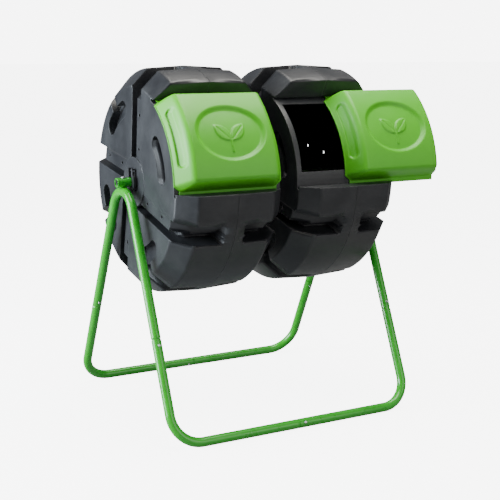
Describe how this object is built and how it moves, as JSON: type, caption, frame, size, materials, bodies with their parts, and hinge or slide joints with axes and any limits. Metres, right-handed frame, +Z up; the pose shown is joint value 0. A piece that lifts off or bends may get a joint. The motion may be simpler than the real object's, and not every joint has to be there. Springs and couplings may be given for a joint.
{
  "type": "compost tumbler",
  "caption": "Twin-drum compost tumbler: moulded drums with sliding doors turn on one axle in a bent-tube stand.",
  "frame": {"origin": "on the ground, in the middle of the stand's footprint, below the middle of the axle", "axes": "+X along the axle from the left drum to the right drum, -Y to the front where the doors are, +Z up"},
  "size_m": [0.8645, 0.6638, 0.9479],
  "materials": {
    "green_powder_coat": "gloss powder coat",
    "black_fittings": "matte",
    "zinc_fixings": "zinc plated",
    "spring_steel": "oiled",
    "axle_steel": "zinc plated",
    "drum_plastic": "fine matte grain",
    "bush_plastic": "matte",
    "door_plastic": "satin"
  },
  "bodies": {
    "stand": {"left_top_tube": "green_powder_coat", "right_top_tube": "green_powder_coat", "left_axle_sleeve": "green_powder_coat", "right_axle_sleeve": "green_powder_coat", "left_axle_collar": "black_fittings", "right_axle_collar": "black_fittings", "front_left_corner_tube": "green_powder_coat", "front_right_corner_tube": "green_powder_coat", "rear_left_corner_tube": "green_powder_coat", "rear_right_corner_tube": "green_powder_coat", "axle_tube": "axle_steel", "axle_spacer": "black_fittings", "sleeve_bolts": "zinc_fixings", "collar_bolts": "zinc_fixings", "snap_spring_leaves": "spring_steel"},
    "left_drum": {"left_drum_outer_shell": "drum_plastic", "left_drum_inner_shell": "drum_plastic", "left_drum_outer_bush": "bush_plastic", "left_drum_inner_bush": "bush_plastic", "left_drum_seam_bolts": "zinc_fixings", "left_drum_seam_nuts": "zinc_fixings"},
    "left_door_body": {"left_door": "door_plastic"},
    "right_drum": {"right_drum_outer_shell": "drum_plastic", "right_drum_inner_shell": "drum_plastic", "right_drum_outer_bush": "bush_plastic", "right_drum_inner_bush": "bush_plastic", "right_drum_seam_bolts": "zinc_fixings", "right_drum_seam_nuts": "zinc_fixings"},
    "right_door_body": {"right_door": "door_plastic"},
    "front_left_leg_button": {"front_left_leg_snap_button": "zinc_fixings"},
    "rear_left_leg_button": {"rear_left_leg_snap_button": "zinc_fixings"},
    "front_right_leg_button": {"front_right_leg_snap_button": "zinc_fixings"},
    "rear_right_leg_button": {"rear_right_leg_snap_button": "zinc_fixings"},
    "front_base_button": {"front_base_snap_button": "zinc_fixings"},
    "rear_base_button": {"rear_base_snap_button": "zinc_fixings"}
  },
  "joints": [
    {"name": "left_drum_spin", "type": "hinge", "parent": "stand", "child": "left_drum", "pos_m": [-0.1785, 0, 0.643], "axis": [-1, 0, 0], "continuous": true},
    {"name": "right_drum_spin", "type": "hinge", "parent": "stand", "child": "right_drum", "pos_m": [0.1785, 0, 0.643], "axis": [-1, 0, 0], "range_deg": [-50, 170]},
    {"name": "left_door_slide", "type": "slide", "parent": "left_drum", "child": "left_door_body", "axis": [1, 0, 0], "range_m": [-0.152, 0]},
    {"name": "right_door_slide", "type": "slide", "parent": "right_drum", "child": "right_door_body", "axis": [1, 0, 0], "range_m": [-0.152, 0]},
    {"name": "front_left_leg_button_press", "type": "slide", "parent": "stand", "child": "front_left_leg_button", "axis": [0, 0.9105, -0.4136], "range_m": [0, 0.003], "stiffness_N_per_m": 900},
    {"name": "rear_left_leg_button_press", "type": "slide", "parent": "stand", "child": "rear_left_leg_button", "axis": [0, 0.9105, 0.4136], "range_m": [0, 0.003], "stiffness_N_per_m": 900},
    {"name": "front_right_leg_button_press", "type": "slide", "parent": "stand", "child": "front_right_leg_button", "axis": [0, 0.9105, -0.4136], "range_m": [0, 0.003], "stiffness_N_per_m": 900},
    {"name": "rear_right_leg_button_press", "type": "slide", "parent": "stand", "child": "rear_right_leg_button", "axis": [0, 0.9105, 0.4136], "range_m": [0, 0.003], "stiffness_N_per_m": 900},
    {"name": "front_base_button_press", "type": "slide", "parent": "stand", "child": "front_base_button", "axis": [0, 0.9105, -0.4136], "range_m": [0, 0.003], "stiffness_N_per_m": 900},
    {"name": "rear_base_button_press", "type": "slide", "parent": "stand", "child": "rear_base_button", "axis": [0, 0.9105, 0.4136], "range_m": [0, 0.003], "stiffness_N_per_m": 900}
  ]
}
